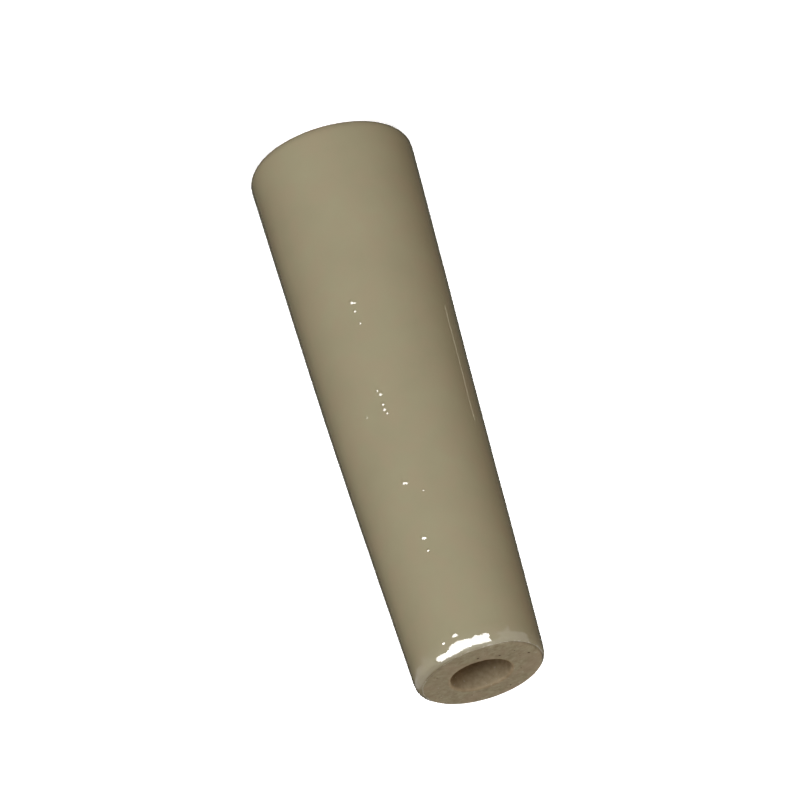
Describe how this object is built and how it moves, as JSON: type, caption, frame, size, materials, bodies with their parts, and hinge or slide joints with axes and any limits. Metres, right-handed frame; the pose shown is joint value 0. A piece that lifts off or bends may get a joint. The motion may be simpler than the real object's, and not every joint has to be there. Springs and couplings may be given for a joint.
{
  "type": "tapered porcelain sleeve insulator",
  "caption": "Tapered porcelain sleeve insulator with a straight through bore, glazed outside and dry on its end faces.",
  "frame": {"origin": "centre of the wide end's face, on the bore axis, where the sleeve stands", "axes": "+Z along the bore, from the wide end to the narrow end; the shape is the same all round, so +X and +Y are free"},
  "size_m": [0.0477, 0.0476, 0.168],
  "materials": {
    "bare_porcelain": "matte",
    "glaze": "gloss"
  },
  "bodies": {
    "root": {"porcelain_body": "bare_porcelain", "glaze_coat": "glaze"}
  },
  "joints": []
}
